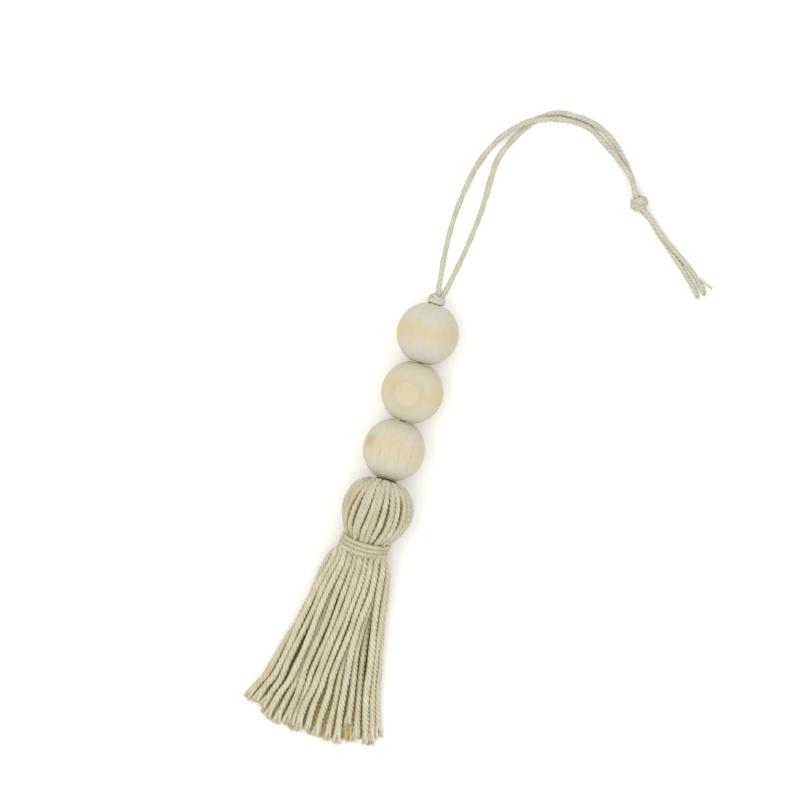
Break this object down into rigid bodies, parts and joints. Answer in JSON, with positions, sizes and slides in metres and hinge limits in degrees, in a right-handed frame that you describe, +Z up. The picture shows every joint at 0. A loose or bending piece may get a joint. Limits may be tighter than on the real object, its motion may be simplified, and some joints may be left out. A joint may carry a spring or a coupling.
{
  "type": "beaded tassel",
  "caption": "Cotton tassel with a round ribbed head, bound neck and fanned skirt, hung on a knotted cord loop through turned wooden beads, lying flat.",
  "frame": {"origin": "on the surface, under the middle of the box round the beads, base knot, head and skirt", "axes": "+Z up from the surface, +Y along the row of beads from the skirt towards the hanging loop, +X to the side that the loop curves over to"},
  "size_m": [0.1062, 0.2138, 0.0221],
  "materials": {
    "bead_wood": "bare turned wood, sanded, unvarnished, matt",
    "tassel_yarn": "undyed twisted cotton, matt, slightly fuzzy",
    "hanging_cord": "undyed thin twisted cotton cord, matt"
  },
  "bodies": {
    "tassel_and_cord": {"tassel": "tassel_yarn", "neck_wrap": "tassel_yarn", "threaded_cord": "hanging_cord", "base_knot": "hanging_cord", "loop_strand_outer": "hanging_cord", "loop_strand_inner": "hanging_cord", "end_knot": "hanging_cord", "tail_left": "hanging_cord", "tail_right": "hanging_cord"},
    "bottom_bead": {"bead_bottom": "bead_wood"},
    "middle_bead": {"bead_middle": "bead_wood"},
    "top_bead": {"bead_top": "bead_wood"}
  },
  "joints": [
    {"name": "bottom_bead_turn", "type": "hinge", "parent": "tassel_and_cord", "child": "bottom_bead", "pos_m": [0, 0.0208, 0.00988], "axis": [0, 1, 0], "continuous": true},
    {"name": "middle_bead_turn", "type": "hinge", "parent": "tassel_and_cord", "child": "middle_bead", "pos_m": [0.0005, 0.03998, 0.00988], "axis": [0, 1, 0], "continuous": true},
    {"name": "top_bead_turn", "type": "hinge", "parent": "tassel_and_cord", "child": "top_bead", "pos_m": [0, 0.05916, 0.00988], "axis": [0, 1, 0], "continuous": true}
  ]
}
